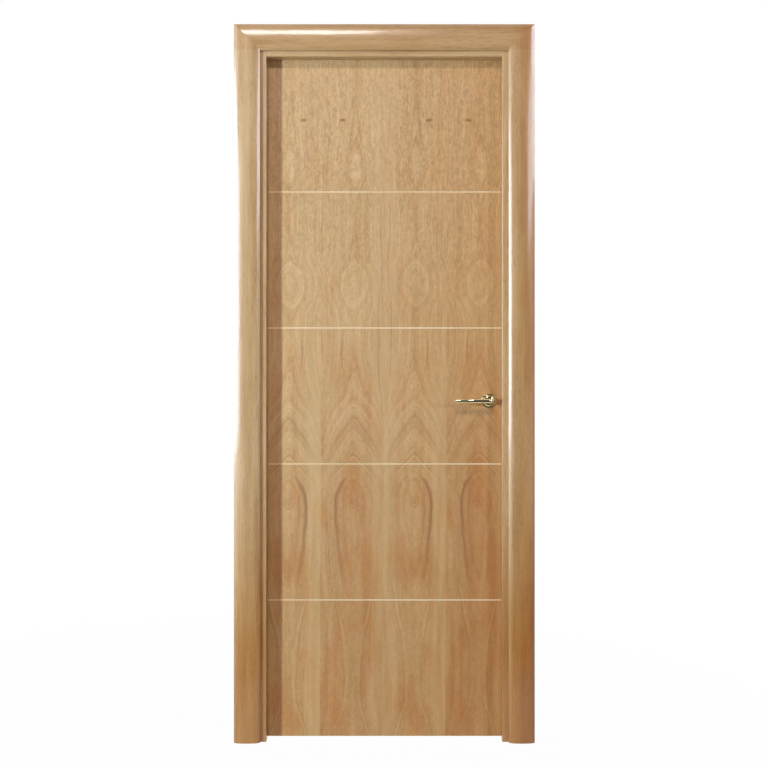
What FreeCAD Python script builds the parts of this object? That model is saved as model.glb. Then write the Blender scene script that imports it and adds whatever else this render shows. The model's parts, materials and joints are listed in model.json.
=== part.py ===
import FreeCAD, Part
import math
import os

from FreeCAD import Vector

# A single-leaf interior door with veneered faces, hung in a lined frame with architraves.
# Lengths are in millimetres. X runs across the opening, Y through the wall, Z up.
# The front side faces -Y and is the one the leaf closes against its stops from behind.
# The origin lies on the wall face of the hinge jamb, at floor level, half way through the wall.

# Leaf
LEAF_WIDTH = 725.0
LEAF_HEIGHT = 2030.0
LEAF_THICKNESS = 35.0
FACE_THICKNESS = 4.0
LIPPING_THICKNESS = 10.0
STILE_WIDTH = 90.0
RAIL_HEIGHT = 80.0
LOCK_EDGE_BEVEL = 2.0
FIELD_HEIGHT = 404.6
INLAY_COUNT = 4
INLAY_WIDTH = 4.0
INLAY_DEPTH = 1.5

# Gaps round the closed leaf
SIDE_GAP = 5.0
TOP_GAP = 5.0
FLOOR_GAP = 5.0
SEAL_GAP = 5.0

# Jambs and stops
JAMB_THICKNESS = 30.0
HEAD_THICKNESS = 30.0
STOP_DEPTH = 35.0
SIDE_STOP_WIDTH = 20.5
HEAD_STOP_WIDTH = 25.5
STOP_ARRIS = 1.5

# Seals between the stops and the leaf
SEAL_INSET = 10.0
SEAL_ROOT_WIDTH = 3.5
SEAL_ROOT_DEPTH = 6.0
SEAL_BULB_WIDTH = 8.0
SEAL_CLEARANCE = 0.3

# Architraves, the same section on both sides of the wall
ARCHITRAVE_WIDTH = 76.0
ARCHITRAVE_EDGE = 8.0
ARCHITRAVE_CROWN = 8.7
ARCHITRAVE_SHOULDER_RADIUS = 26.5
ARCHITRAVE_SHOULDER_TILT = 42.0
FRONT_SIDE_MARGIN = 18.0
FRONT_HEAD_MARGIN = 16.5
BACK_MARGIN = 5.0

# Lift-off hinges
HINGE_END_DISTANCE = 200.0
HINGE_HEIGHT = 100.0
HINGE_PLATE_THICKNESS = 3.0
HINGE_PLATE_WIDTH = 29.0
KNUCKLE_RADIUS = 6.5
KNUCKLE_OFFSET = 7.5
KNUCKLE_GAP = 0.5
FINIAL_HEIGHT = 3.5
FINIAL_RADIUS = 4.5
PIN_RADIUS = 3.5
PIN_CLEARANCE = 0.05
PIN_REACH = 40.0
PIN_END_ROOM = 2.0

# Lock and strike
SPINDLE_HEIGHT = 1002.0
BACKSET = 52.5
FOREND_SEAT = 5.0
FOREND_WIDTH = 20.0
FOREND_HEIGHT = 170.0
CASE_THICKNESS = 14.0
CASE_HEIGHT = 90.0
CASE_BEHIND_SPINDLE = 22.0
HUB_HOLE_RADIUS = 6.5
BOLT_LENGTH = 32.0
BOLT_THICKNESS = 11.0
BOLT_HEIGHT = 20.0
BOLT_NOSE = 9.0
BOLT_CLEARANCE = 0.2
STRIKE_THICKNESS = 2.0
STRIKE_HEIGHT = 70.0
STRIKE_FRONT_LAND = 8.0
STRIKE_PLAY = 1.5
STRIKE_POCKET_DEPTH = 16.0

# Lever handles and roses
SPINDLE_SIZE = 8.0
SPINDLE_FIT = 0.05
SPINDLE_BORE_RADIUS = 11.0
ROSE_RADIUS = 22.0
ROSE_RIM_HEIGHT = 4.0
ROSE_DOME_RADIUS = 17.0
ROSE_DOME_TOP_RADIUS = 14.8
ROSE_DOME_SIDE_HEIGHT = 9.8
ROSE_HEIGHT = 12.0
NECK_RADIUS = 7.8
NECK_CLEARANCE = 0.3
HANDLE_STANDOFF = 47.0
LEVER_ROOT_RADIUS = 7.5
LEVER_ROOT_LENGTH = 52.0
LEVER_WAIST_LENGTH = 56.0
LEVER_ARM_RADIUS = 6.4
LEVER_ARM_LENGTH = 90.0
LEVER_TIP_RADIUS = 4.6
LEVER_LENGTH = 104.0
SPINDLE_ENGAGEMENT = 34.0

# Planes and places that follow from the sizes above
JAMB_DEPTH = STOP_DEPTH + SEAL_GAP + LEAF_THICKNESS
FRONT_Y = -JAMB_DEPTH / 2
BACK_Y = JAMB_DEPTH / 2
STOP_BACK_Y = FRONT_Y + STOP_DEPTH
LEAF_FRONT_Y = STOP_BACK_Y + SEAL_GAP
LEAF_BACK_Y = LEAF_FRONT_Y + LEAF_THICKNESS
LEAF_MID_Y = (LEAF_FRONT_Y + LEAF_BACK_Y) / 2
REBATE_LEFT_X = JAMB_THICKNESS
LEAF_HINGE_X = REBATE_LEFT_X + SIDE_GAP
LEAF_LOCK_X = LEAF_HINGE_X + LEAF_WIDTH
REBATE_RIGHT_X = LEAF_LOCK_X + SIDE_GAP
FRAME_WIDTH = REBATE_RIGHT_X + JAMB_THICKNESS
LEAF_BOTTOM_Z = FLOOR_GAP
LEAF_TOP_Z = LEAF_BOTTOM_Z + LEAF_HEIGHT
REBATE_TOP_Z = LEAF_TOP_Z + TOP_GAP
FRAME_TOP_Z = REBATE_TOP_Z + HEAD_THICKNESS
STOP_LEFT_X = REBATE_LEFT_X + SIDE_STOP_WIDTH
STOP_RIGHT_X = REBATE_RIGHT_X - SIDE_STOP_WIDTH
STOP_HEAD_Z = REBATE_TOP_Z - HEAD_STOP_WIDTH
FACE_LEFT_X = LEAF_HINGE_X + LIPPING_THICKNESS
FACE_RIGHT_X = LEAF_LOCK_X - LIPPING_THICKNESS
CORE_FRONT_Y = LEAF_FRONT_Y + FACE_THICKNESS
CORE_BACK_Y = LEAF_BACK_Y - FACE_THICKNESS
SPINDLE_X = LEAF_LOCK_X - BACKSET
HINGE_AXIS_X = (REBATE_LEFT_X + LEAF_HINGE_X) / 2
HINGE_AXIS_Y = BACK_Y + KNUCKLE_OFFSET
BOLT_FRONT_Y = LEAF_MID_Y - BOLT_THICKNESS / 2
BOLT_BACK_Y = LEAF_MID_Y + BOLT_THICKNESS / 2

# How far a cutting block runs on past what it cuts
MARGIN_OUT = 10.0


def box(x0, x1, y0, y1, z0, z1):
    """A block between two values on each axis."""
    return Part.makeBox(x1 - x0, y1 - y0, z1 - z0, Vector(x0, y0, z0))


def prism(points, along):
    """A solid pushed from a flat outline of points by a vector."""
    return Part.Face(Part.makePolygon(points + points[:1])).extrude(along)


def turned(outline, centre, axis):
    """A solid turned from a closed wire about an axis."""
    return Part.Face(outline).revolve(centre, axis, 360)


def lock_edge_waste():
    """What the plane of the bevelled lock edge takes off, with room outside the leaf."""
    low = LEAF_BOTTOM_Z - MARGIN_OUT
    high = LEAF_TOP_Z + MARGIN_OUT
    slope = LOCK_EDGE_BEVEL / LEAF_THICKNESS
    outline = [
        Vector(LEAF_LOCK_X - LOCK_EDGE_BEVEL - slope * MARGIN_OUT, LEAF_FRONT_Y - MARGIN_OUT, low),
        Vector(LEAF_LOCK_X + MARGIN_OUT, LEAF_FRONT_Y - MARGIN_OUT, low),
        Vector(LEAF_LOCK_X + MARGIN_OUT, LEAF_BACK_Y + MARGIN_OUT, low),
        Vector(LEAF_LOCK_X + slope * MARGIN_OUT, LEAF_BACK_Y + MARGIN_OUT, low),
    ]
    return prism(outline, Vector(0, 0, high - low))


# Frame: jambs, stops and seals


def hinge_centres():
    """The heights of the three hinges: near each end of the leaf and midway."""
    low = LEAF_BOTTOM_Z + HINGE_END_DISTANCE
    high = LEAF_TOP_Z - HINGE_END_DISTANCE
    return [low, (low + high) / 2, high]


def hinge_plate(seat_x, direction, centre_z):
    """A flat hinge plate let into the wood whose surface is at seat_x."""
    inner_x = seat_x - direction * HINGE_PLATE_THICKNESS
    return box(min(seat_x, inner_x), max(seat_x, inner_x),
               BACK_Y - HINGE_PLATE_WIDTH, BACK_Y,
               centre_z - HINGE_HEIGHT / 2, centre_z + HINGE_HEIGHT / 2)


def jamb_hinge_side():
    """The jamb that carries the hinges, with a mortise for each plate."""
    jamb = box(0, REBATE_LEFT_X, FRONT_Y, BACK_Y, 0, FRAME_TOP_Z)
    for centre_z in hinge_centres():
        jamb = jamb.cut(hinge_plate(REBATE_LEFT_X, 1, centre_z))
    return jamb


def strike_hole(depth):
    """The room the latch bolt springs into, open on the leaf's side."""
    return box(REBATE_RIGHT_X - STRIKE_THICKNESS, REBATE_RIGHT_X + depth,
               BOLT_FRONT_Y - STRIKE_PLAY, BOLT_BACK_Y + STRIKE_PLAY,
               SPINDLE_HEIGHT - BOLT_HEIGHT / 2 - STRIKE_PLAY,
               SPINDLE_HEIGHT + BOLT_HEIGHT / 2 + STRIKE_PLAY)


def strike_blank():
    """The strike plate before its hole is cut."""
    return box(REBATE_RIGHT_X, REBATE_RIGHT_X + STRIKE_THICKNESS,
               BOLT_FRONT_Y - STRIKE_PLAY - STRIKE_FRONT_LAND, BACK_Y,
               SPINDLE_HEIGHT - STRIKE_HEIGHT / 2, SPINDLE_HEIGHT + STRIKE_HEIGHT / 2)


def jamb_latch_side():
    """The jamb that the leaf latches to, with the strike plate's seat and pocket."""
    jamb = box(REBATE_RIGHT_X, FRAME_WIDTH, FRONT_Y, BACK_Y, 0, FRAME_TOP_Z)
    return jamb.cut(strike_blank()).cut(strike_hole(STRIKE_POCKET_DEPTH))


def strike_plate():
    """The brass plate round the latch pocket, flush with the jamb."""
    return strike_blank().cut(strike_hole(STRIKE_POCKET_DEPTH))


def jamb_head():
    """The head of the frame, fitted between the jambs."""
    return box(REBATE_LEFT_X, REBATE_RIGHT_X, FRONT_Y, BACK_Y, REBATE_TOP_Z, FRAME_TOP_Z)


def seal_outline(foot, across, out):
    """A seal's section: a root in the stop's kerf and a bulb towards the leaf."""
    half_root = SEAL_ROOT_WIDTH / 2
    half_bulb = SEAL_BULB_WIDTH / 2
    crown = foot + out * (SEAL_GAP - SEAL_CLEARANCE)
    left = foot - across * half_bulb
    right = foot + across * half_bulb
    root_left = foot - across * half_root
    root_right = foot + across * half_root
    deep_left = root_left - out * SEAL_ROOT_DEPTH
    deep_right = root_right - out * SEAL_ROOT_DEPTH
    edges = [
        Part.Arc(left, crown, right).toShape(),
        Part.makeLine(right, root_right),
        Part.makeLine(root_right, deep_right),
        Part.makeLine(deep_right, deep_left),
        Part.makeLine(deep_left, root_left),
        Part.makeLine(root_left, left),
    ]
    return Part.Face(Part.Wire(edges))


def side_seal(x):
    """An upright seal, from the floor to the head stop's seal."""
    foot = Vector(x, STOP_BACK_Y, 0)
    top_z = REBATE_TOP_Z - SEAL_INSET - SEAL_BULB_WIDTH / 2
    return seal_outline(foot, Vector(1, 0, 0), Vector(0, 1, 0)).extrude(Vector(0, 0, top_z))


def head_seal():
    """The seal along the head stop, across the tops of the upright ones."""
    start_x = REBATE_LEFT_X + SEAL_INSET - SEAL_BULB_WIDTH / 2
    end_x = REBATE_RIGHT_X - SEAL_INSET + SEAL_BULB_WIDTH / 2
    foot = Vector(start_x, STOP_BACK_Y, REBATE_TOP_Z - SEAL_INSET)
    return seal_outline(foot, Vector(0, 0, 1), Vector(0, 1, 0)).extrude(Vector(end_x - start_x, 0, 0))


def rounded_stop(block, axis, edge_x=None, edge_z=None):
    """A stop with its two long edges at the opening eased."""
    eased = []
    for edge in block.Edges:
        middle = edge.CenterOfMass
        along = edge.tangentAt(edge.FirstParameter)
        away = middle.z - edge_z if edge_x is None else middle.x - edge_x
        if abs(along.dot(axis)) > 0.999 and abs(away) < 0.001:
            eased.append(edge)
    return block.makeFillet(STOP_ARRIS, eased)


def stop_hinge_side():
    """The stop planted on the hinge jamb."""
    block = box(REBATE_LEFT_X, STOP_LEFT_X, FRONT_Y, STOP_BACK_Y, 0, REBATE_TOP_Z)
    stop = rounded_stop(block, Vector(0, 0, 1), edge_x=STOP_LEFT_X)
    return stop.cut(side_seal(REBATE_LEFT_X + SEAL_INSET)).cut(head_seal())


def stop_latch_side():
    """The stop planted on the latch jamb."""
    block = box(STOP_RIGHT_X, REBATE_RIGHT_X, FRONT_Y, STOP_BACK_Y, 0, REBATE_TOP_Z)
    stop = rounded_stop(block, Vector(0, 0, 1), edge_x=STOP_RIGHT_X)
    return stop.cut(side_seal(REBATE_RIGHT_X - SEAL_INSET)).cut(head_seal())


def stop_head():
    """The stop under the head, fitted between the upright stops."""
    block = box(STOP_LEFT_X, STOP_RIGHT_X, FRONT_Y, STOP_BACK_Y, STOP_HEAD_Z, REBATE_TOP_Z)
    return rounded_stop(block, Vector(1, 0, 0), edge_z=STOP_HEAD_Z).cut(head_seal())


# Architraves


def architrave_section(inner, across, out):
    """The moulding's section: a flat back, square edges and a crown of three tangent arcs."""
    shoulder = ARCHITRAVE_SHOULDER_RADIUS
    edge_turn = math.radians(ARCHITRAVE_SHOULDER_TILT)
    reach = ARCHITRAVE_WIDTH / 2 - shoulder * math.sin(edge_turn)
    rise = ARCHITRAVE_CROWN + shoulder * math.cos(edge_turn)
    crown = (reach ** 2 + rise ** 2 - shoulder ** 2) / (2 * (rise - shoulder))
    turn = math.atan2(reach, crown - rise)
    middle = inner + across * (ARCHITRAVE_WIDTH / 2) + out * ARCHITRAVE_EDGE

    def at(aside, up):
        return middle + across * aside + out * up

    def shoulder_point(side, angle):
        up = shoulder * (math.cos(angle) - math.cos(edge_turn))
        return at(side * (reach + shoulder * math.sin(angle)), up)

    outer = inner + across * ARCHITRAVE_WIDTH
    inner_edge = shoulder_point(-1, edge_turn)
    outer_edge = shoulder_point(1, edge_turn)
    inner_turn = shoulder_point(-1, turn)
    outer_turn = shoulder_point(1, turn)
    half_turn = (turn + edge_turn) / 2
    edges = [
        Part.makeLine(inner, inner_edge),
        Part.Arc(inner_edge, shoulder_point(-1, half_turn), inner_turn).toShape(),
        Part.Arc(inner_turn, at(0, ARCHITRAVE_CROWN), outer_turn).toShape(),
        Part.Arc(outer_turn, shoulder_point(1, half_turn), outer_edge).toShape(),
        Part.makeLine(outer_edge, outer),
        Part.makeLine(outer, inner),
    ]
    return Part.Face(Part.Wire(edges))


def mitre_line(inner_x, inner_z, side):
    """The ends of the mitre's line in a corner, run on past the moulding."""
    start = Vector(inner_x - side * MARGIN_OUT, -JAMB_DEPTH, inner_z - MARGIN_OUT)
    reach = ARCHITRAVE_WIDTH + MARGIN_OUT
    end = Vector(inner_x + side * reach, -JAMB_DEPTH, inner_z + reach)
    return start, end


def architrave_leg(inner_x, inner_z, side, face_y, out_y):
    """An upright architrave: side is -1 on the left and 1 on the right."""
    section = architrave_section(Vector(inner_x, face_y, 0), Vector(side, 0, 0), Vector(0, out_y, 0))
    leg = section.extrude(Vector(0, 0, inner_z + ARCHITRAVE_WIDTH))
    start, end = mitre_line(inner_x, inner_z, side)
    waste = prism([start, end, Vector(start.x, start.y, end.z)], Vector(0, 2 * JAMB_DEPTH, 0))
    return leg.cut(waste)


def architrave_head(left_x, right_x, inner_z, face_y, out_y):
    """The head architrave, mitred onto both legs."""
    section = architrave_section(Vector(left_x - ARCHITRAVE_WIDTH, face_y, inner_z),
                                 Vector(0, 0, 1), Vector(0, out_y, 0))
    head = section.extrude(Vector(right_x - left_x + 2 * ARCHITRAVE_WIDTH, 0, 0))
    for inner_x, side in ((left_x, -1), (right_x, 1)):
        start, end = mitre_line(inner_x, inner_z, side)
        waste = prism([start, end, Vector(end.x, end.y, start.z)], Vector(0, 2 * JAMB_DEPTH, 0))
        head = head.cut(waste)
    return head


# Leaf


def inlay_heights():
    """The middles of the inlay lines: equal fields from the bottom, the top one a little taller."""
    return [LEAF_BOTTOM_Z + FIELD_HEIGHT * line for line in range(1, INLAY_COUNT + 1)]


def inlay_strips(face_y, inward):
    """The pale lines let into one face, flush with its veneer."""
    strips = []
    for middle in inlay_heights():
        y0, y1 = sorted((face_y, face_y + inward * INLAY_DEPTH))
        strips.append(box(FACE_LEFT_X, FACE_RIGHT_X, y0, y1,
                          middle - INLAY_WIDTH / 2, middle + INLAY_WIDTH / 2))
    return Part.makeCompound(strips)


def spindle_bore():
    """The round hole through the leaf at the handles."""
    return Part.makeCylinder(SPINDLE_BORE_RADIUS, LEAF_THICKNESS + 2 * MARGIN_OUT,
                             Vector(SPINDLE_X, LEAF_FRONT_Y - MARGIN_OUT, SPINDLE_HEIGHT),
                             Vector(0, 1, 0))


def leaf_face(face_y, inward):
    """One veneered face board, grooved for the inlays and bored for the spindle."""
    y0, y1 = sorted((face_y, face_y + inward * FACE_THICKNESS))
    board = box(FACE_LEFT_X, FACE_RIGHT_X, y0, y1, LEAF_BOTTOM_Z, LEAF_TOP_Z)
    for strip in inlay_strips(face_y, inward).Solids:
        board = board.cut(strip)
    return board.cut(spindle_bore())


def case_block():
    """The lock case's outside, which is also the mortise that holds it."""
    return box(SPINDLE_X - CASE_BEHIND_SPINDLE, LEAF_LOCK_X - FOREND_SEAT,
               LEAF_MID_Y - CASE_THICKNESS / 2, LEAF_MID_Y + CASE_THICKNESS / 2,
               SPINDLE_HEIGHT - CASE_HEIGHT / 2, SPINDLE_HEIGHT + CASE_HEIGHT / 2)


def forend_blank():
    """The forend before its edge is planed to the bevel and its hole is cut."""
    return box(LEAF_LOCK_X - FOREND_SEAT, LEAF_LOCK_X + MARGIN_OUT,
               LEAF_MID_Y - FOREND_WIDTH / 2, LEAF_MID_Y + FOREND_WIDTH / 2,
               SPINDLE_HEIGHT - FOREND_HEIGHT / 2, SPINDLE_HEIGHT + FOREND_HEIGHT / 2)


def bolt_way():
    """The slot that the latch bolt slides in, through the forend and into the case."""
    return box(LEAF_LOCK_X - BOLT_LENGTH, LEAF_LOCK_X + MARGIN_OUT,
               BOLT_FRONT_Y - BOLT_CLEARANCE, BOLT_BACK_Y + BOLT_CLEARANCE,
               SPINDLE_HEIGHT - BOLT_HEIGHT / 2 - BOLT_CLEARANCE,
               SPINDLE_HEIGHT + BOLT_HEIGHT / 2 + BOLT_CLEARANCE)


def leaf_stile_hinge():
    """The upright of the leaf's inner frame behind the hinges."""
    return box(FACE_LEFT_X, FACE_LEFT_X + STILE_WIDTH,
               CORE_FRONT_Y, CORE_BACK_Y, LEAF_BOTTOM_Z, LEAF_TOP_Z)


def leaf_stile_lock():
    """The upright that holds the lock, mortised and bored."""
    stile = box(FACE_RIGHT_X - STILE_WIDTH, FACE_RIGHT_X,
                CORE_FRONT_Y, CORE_BACK_Y, LEAF_BOTTOM_Z, LEAF_TOP_Z)
    return stile.cut(case_block()).cut(spindle_bore())


def leaf_rail(low_z):
    """A rail of the inner frame between the stiles."""
    return box(FACE_LEFT_X + STILE_WIDTH, FACE_RIGHT_X - STILE_WIDTH,
               CORE_FRONT_Y, CORE_BACK_Y, low_z, low_z + RAIL_HEIGHT)


def leaf_core():
    """The board that fills the leaf between stiles and rails."""
    return box(FACE_LEFT_X + STILE_WIDTH, FACE_RIGHT_X - STILE_WIDTH, CORE_FRONT_Y, CORE_BACK_Y,
               LEAF_BOTTOM_Z + RAIL_HEIGHT, LEAF_TOP_Z - RAIL_HEIGHT)


def lipping_hinge_edge():
    """The solid lipping on the hinge edge, let in for the hinge plates."""
    lipping = box(LEAF_HINGE_X, FACE_LEFT_X, LEAF_FRONT_Y, LEAF_BACK_Y, LEAF_BOTTOM_Z, LEAF_TOP_Z)
    for centre_z in hinge_centres():
        lipping = lipping.cut(hinge_plate(LEAF_HINGE_X, -1, centre_z))
    return lipping


def lipping_lock_edge():
    """The solid lipping on the lock edge, planed to the bevel and cut for the lock."""
    lipping = box(FACE_RIGHT_X, LEAF_LOCK_X, LEAF_FRONT_Y, LEAF_BACK_Y, LEAF_BOTTOM_Z, LEAF_TOP_Z)
    return lipping.cut(lock_edge_waste()).cut(forend_blank()).cut(case_block())


# Lock


def lock_case():
    """The closed case in its mortise, with the way of the bolt and the hub's hole."""
    hub_hole = Part.makeCylinder(HUB_HOLE_RADIUS, LEAF_THICKNESS,
                                 Vector(SPINDLE_X, LEAF_FRONT_Y, SPINDLE_HEIGHT), Vector(0, 1, 0))
    return case_block().cut(hub_hole).cut(bolt_way())


def lock_forend():
    """The brass strip let into the lock edge, planed flush with the bevel."""
    return forend_blank().cut(lock_edge_waste()).cut(bolt_way())


def latch_bolt():
    """The sprung latch drawn back, its nose sloped on the side that meets the strike."""
    low = SPINDLE_HEIGHT - BOLT_HEIGHT / 2
    nose = [
        Vector(LEAF_LOCK_X - BOLT_LENGTH, BOLT_FRONT_Y, low),
        Vector(LEAF_LOCK_X - BOLT_NOSE, BOLT_FRONT_Y, low),
        Vector(LEAF_LOCK_X, BOLT_BACK_Y, low),
        Vector(LEAF_LOCK_X - BOLT_LENGTH, BOLT_BACK_Y, low),
    ]
    return prism(nose, Vector(0, 0, BOLT_HEIGHT)).cut(lock_edge_waste())


# Hinges


def knuckle(open_z, end_z, up):
    """A round barrel on the hinge axis from open_z to end_z, closed there by a button finial."""

    def at(radius, z):
        return Vector(HINGE_AXIS_X + radius, HINGE_AXIS_Y, z)

    tip_z = end_z + up * FINIAL_HEIGHT
    outline = Part.makePolygon([
        at(0, open_z), at(KNUCKLE_RADIUS, open_z), at(KNUCKLE_RADIUS, end_z),
        at(FINIAL_RADIUS, end_z), at(FINIAL_RADIUS, tip_z), at(0, tip_z), at(0, open_z),
    ])
    return turned(outline, at(0, open_z), Vector(0, 0, 1))


def hinge_tab(seat_x, direction, low_z, high_z):
    """The strip that carries a plate out to its barrel."""
    inner_x = seat_x - direction * HINGE_PLATE_THICKNESS
    return box(min(seat_x, inner_x), max(seat_x, inner_x), BACK_Y, HINGE_AXIS_Y, low_z, high_z)


def hinge_frame_half(centre_z):
    """The lower half of a hinge, fixed to the jamb, with the pin's seat."""
    low = centre_z - HINGE_HEIGHT / 2
    high = centre_z - KNUCKLE_GAP / 2
    half = hinge_plate(REBATE_LEFT_X, 1, centre_z).fuse([
        hinge_tab(REBATE_LEFT_X, 1, low, high),
        knuckle(high, low, -1),
    ])
    return half.cut(hinge_pin(centre_z))


def hinge_pin(centre_z):
    """The pin, fast in the lower barrel."""
    low = centre_z - HINGE_HEIGHT / 2
    return Part.makeCylinder(PIN_RADIUS, HINGE_HEIGHT / 2 + PIN_REACH,
                             Vector(HINGE_AXIS_X, HINGE_AXIS_Y, low))


def hinge_leaf_half(centre_z):
    """The upper half of a hinge, fixed to the leaf, that lifts off the pin."""
    low = centre_z + KNUCKLE_GAP / 2
    high = centre_z + HINGE_HEIGHT / 2
    half = hinge_plate(LEAF_HINGE_X, -1, centre_z).fuse([
        hinge_tab(LEAF_HINGE_X, -1, low, high),
        knuckle(low, high, 1),
    ])
    bore = Part.makeCylinder(PIN_RADIUS + PIN_CLEARANCE, PIN_REACH + PIN_END_ROOM - KNUCKLE_GAP / 2,
                             Vector(HINGE_AXIS_X, HINGE_AXIS_Y, low))
    return half.cut(bore)


# Handles: face_y is the leaf's face and out is -1 at the front and 1 at the back


def rose(face_y, out):
    """The round rose behind a handle: a low rim round a dome that the neck comes through."""

    def at(radius, height):
        return Vector(SPINDLE_X + radius, face_y + out * height, SPINDLE_HEIGHT)

    bore = NECK_RADIUS + NECK_CLEARANCE
    outline = Part.makePolygon([
        at(bore, 0), at(ROSE_RADIUS, 0), at(ROSE_RADIUS, ROSE_RIM_HEIGHT),
        at(ROSE_DOME_RADIUS, ROSE_RIM_HEIGHT), at(ROSE_DOME_RADIUS, ROSE_DOME_SIDE_HEIGHT),
        at(ROSE_DOME_TOP_RADIUS, ROSE_HEIGHT), at(bore, ROSE_HEIGHT), at(bore, 0),
    ])
    return turned(outline, at(0, 0), Vector(0, 1, 0))


def handle_neck(face_y, out):
    """The neck that stands out from the rose, rounded off at its end as the elbow."""
    middle = math.sqrt(0.5) * NECK_RADIUS

    def at(radius, height):
        return Vector(SPINDLE_X + radius, face_y + out * height, SPINDLE_HEIGHT)

    tip = at(0, HANDLE_STANDOFF + NECK_RADIUS)
    side = at(NECK_RADIUS, HANDLE_STANDOFF)
    cap = Part.Arc(side, at(middle, HANDLE_STANDOFF + middle), tip).toShape()
    outline = Part.Wire(Part.makePolygon([tip, at(0, 0), at(NECK_RADIUS, 0), side]).Edges + [cap])
    return turned(outline, at(0, 0), Vector(0, 1, 0))


def lever_arm(face_y, out):
    """The straight lever: a stout root, a waist, a slimmer arm and a tapered tip."""

    def at(along, radius):
        return Vector(SPINDLE_X - along, face_y + out * HANDLE_STANDOFF, SPINDLE_HEIGHT + radius)

    outline = Part.makePolygon([
        at(0, 0), at(0, LEVER_ROOT_RADIUS), at(LEVER_ROOT_LENGTH, LEVER_ROOT_RADIUS),
        at(LEVER_WAIST_LENGTH, LEVER_ARM_RADIUS), at(LEVER_ARM_LENGTH, LEVER_ARM_RADIUS),
        at(LEVER_LENGTH, LEVER_TIP_RADIUS), at(LEVER_LENGTH, 0), at(0, 0),
    ])
    return turned(outline, at(0, 0), Vector(1, 0, 0))


def spindle_bar(clearance=0.0):
    """The square bar through the leaf that joins both handles."""
    half = SPINDLE_SIZE / 2 + clearance
    return box(SPINDLE_X - half, SPINDLE_X + half,
               LEAF_FRONT_Y - SPINDLE_ENGAGEMENT, LEAF_BACK_Y + SPINDLE_ENGAGEMENT,
               SPINDLE_HEIGHT - half, SPINDLE_HEIGHT + half)


def lever_handle(face_y, out):
    """Neck, elbow and lever in one casting, with the spindle's socket."""
    casting = handle_neck(face_y, out).fuse(lever_arm(face_y, out))
    return casting.cut(spindle_bar(SPINDLE_FIT))


def build():
    """Every piece by its name."""
    front_left = STOP_LEFT_X - FRONT_SIDE_MARGIN
    front_right = STOP_RIGHT_X + FRONT_SIDE_MARGIN
    front_top = STOP_HEAD_Z + FRONT_HEAD_MARGIN
    back_left = REBATE_LEFT_X - BACK_MARGIN
    back_right = REBATE_RIGHT_X + BACK_MARGIN
    back_top = REBATE_TOP_Z + BACK_MARGIN
    pieces = {
        "jamb_hinge_side": jamb_hinge_side(),
        "jamb_latch_side": jamb_latch_side(),
        "jamb_head": jamb_head(),
        "stop_hinge_side": stop_hinge_side(),
        "stop_latch_side": stop_latch_side(),
        "stop_head": stop_head(),
        "seal_hinge_side": side_seal(REBATE_LEFT_X + SEAL_INSET),
        "seal_latch_side": side_seal(REBATE_RIGHT_X - SEAL_INSET),
        "seal_head": head_seal(),
        "strike_plate": strike_plate(),
        "architrave_front_left": architrave_leg(front_left, front_top, -1, FRONT_Y, -1),
        "architrave_front_right": architrave_leg(front_right, front_top, 1, FRONT_Y, -1),
        "architrave_front_head": architrave_head(front_left, front_right, front_top, FRONT_Y, -1),
        "architrave_back_left": architrave_leg(back_left, back_top, -1, BACK_Y, 1),
        "architrave_back_right": architrave_leg(back_right, back_top, 1, BACK_Y, 1),
        "architrave_back_head": architrave_head(back_left, back_right, back_top, BACK_Y, 1),
        "leaf_stile_hinge": leaf_stile_hinge(),
        "leaf_stile_lock": leaf_stile_lock(),
        "leaf_rail_bottom": leaf_rail(LEAF_BOTTOM_Z),
        "leaf_rail_top": leaf_rail(LEAF_TOP_Z - RAIL_HEIGHT),
        "leaf_core": leaf_core(),
        "leaf_face_front": leaf_face(LEAF_FRONT_Y, 1),
        "leaf_face_back": leaf_face(LEAF_BACK_Y, -1),
        "inlay_strips_front": inlay_strips(LEAF_FRONT_Y, 1),
        "inlay_strips_back": inlay_strips(LEAF_BACK_Y, -1),
        "lipping_hinge_edge": lipping_hinge_edge(),
        "lipping_lock_edge": lipping_lock_edge(),
        "lock_case": lock_case(),
        "lock_forend": lock_forend(),
        "latch_bolt": latch_bolt(),
        "rose_front": rose(LEAF_FRONT_Y, -1),
        "rose_back": rose(LEAF_BACK_Y, 1),
        "lever_front": lever_handle(LEAF_FRONT_Y, -1),
        "lever_back": lever_handle(LEAF_BACK_Y, 1),
        "spindle": spindle_bar(),
    }
    for place, centre_z in zip(("low", "middle", "high"), hinge_centres()):
        pieces[f"hinge_frame_half_{place}"] = hinge_frame_half(centre_z)
        pieces[f"hinge_pin_{place}"] = hinge_pin(centre_z)
        pieces[f"hinge_leaf_half_{place}"] = hinge_leaf_half(centre_z)
    return pieces


os.makedirs("parts", exist_ok=True)
for name, shape in build().items():
    shape.exportStep(f"parts/{name}.step")
    print(name, len(shape.Solids), shape.isValid(), round(shape.Volume / 1000, 1), "cm3")
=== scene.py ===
"""Looks of a flush inside door with book-matched veneer, hung in its timber frame."""

import json
import logging
import math
from collections.abc import Sequence
from dataclasses import dataclass
from enum import Enum

import bmesh
import bpy
from mathutils import Matrix, Vector

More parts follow.
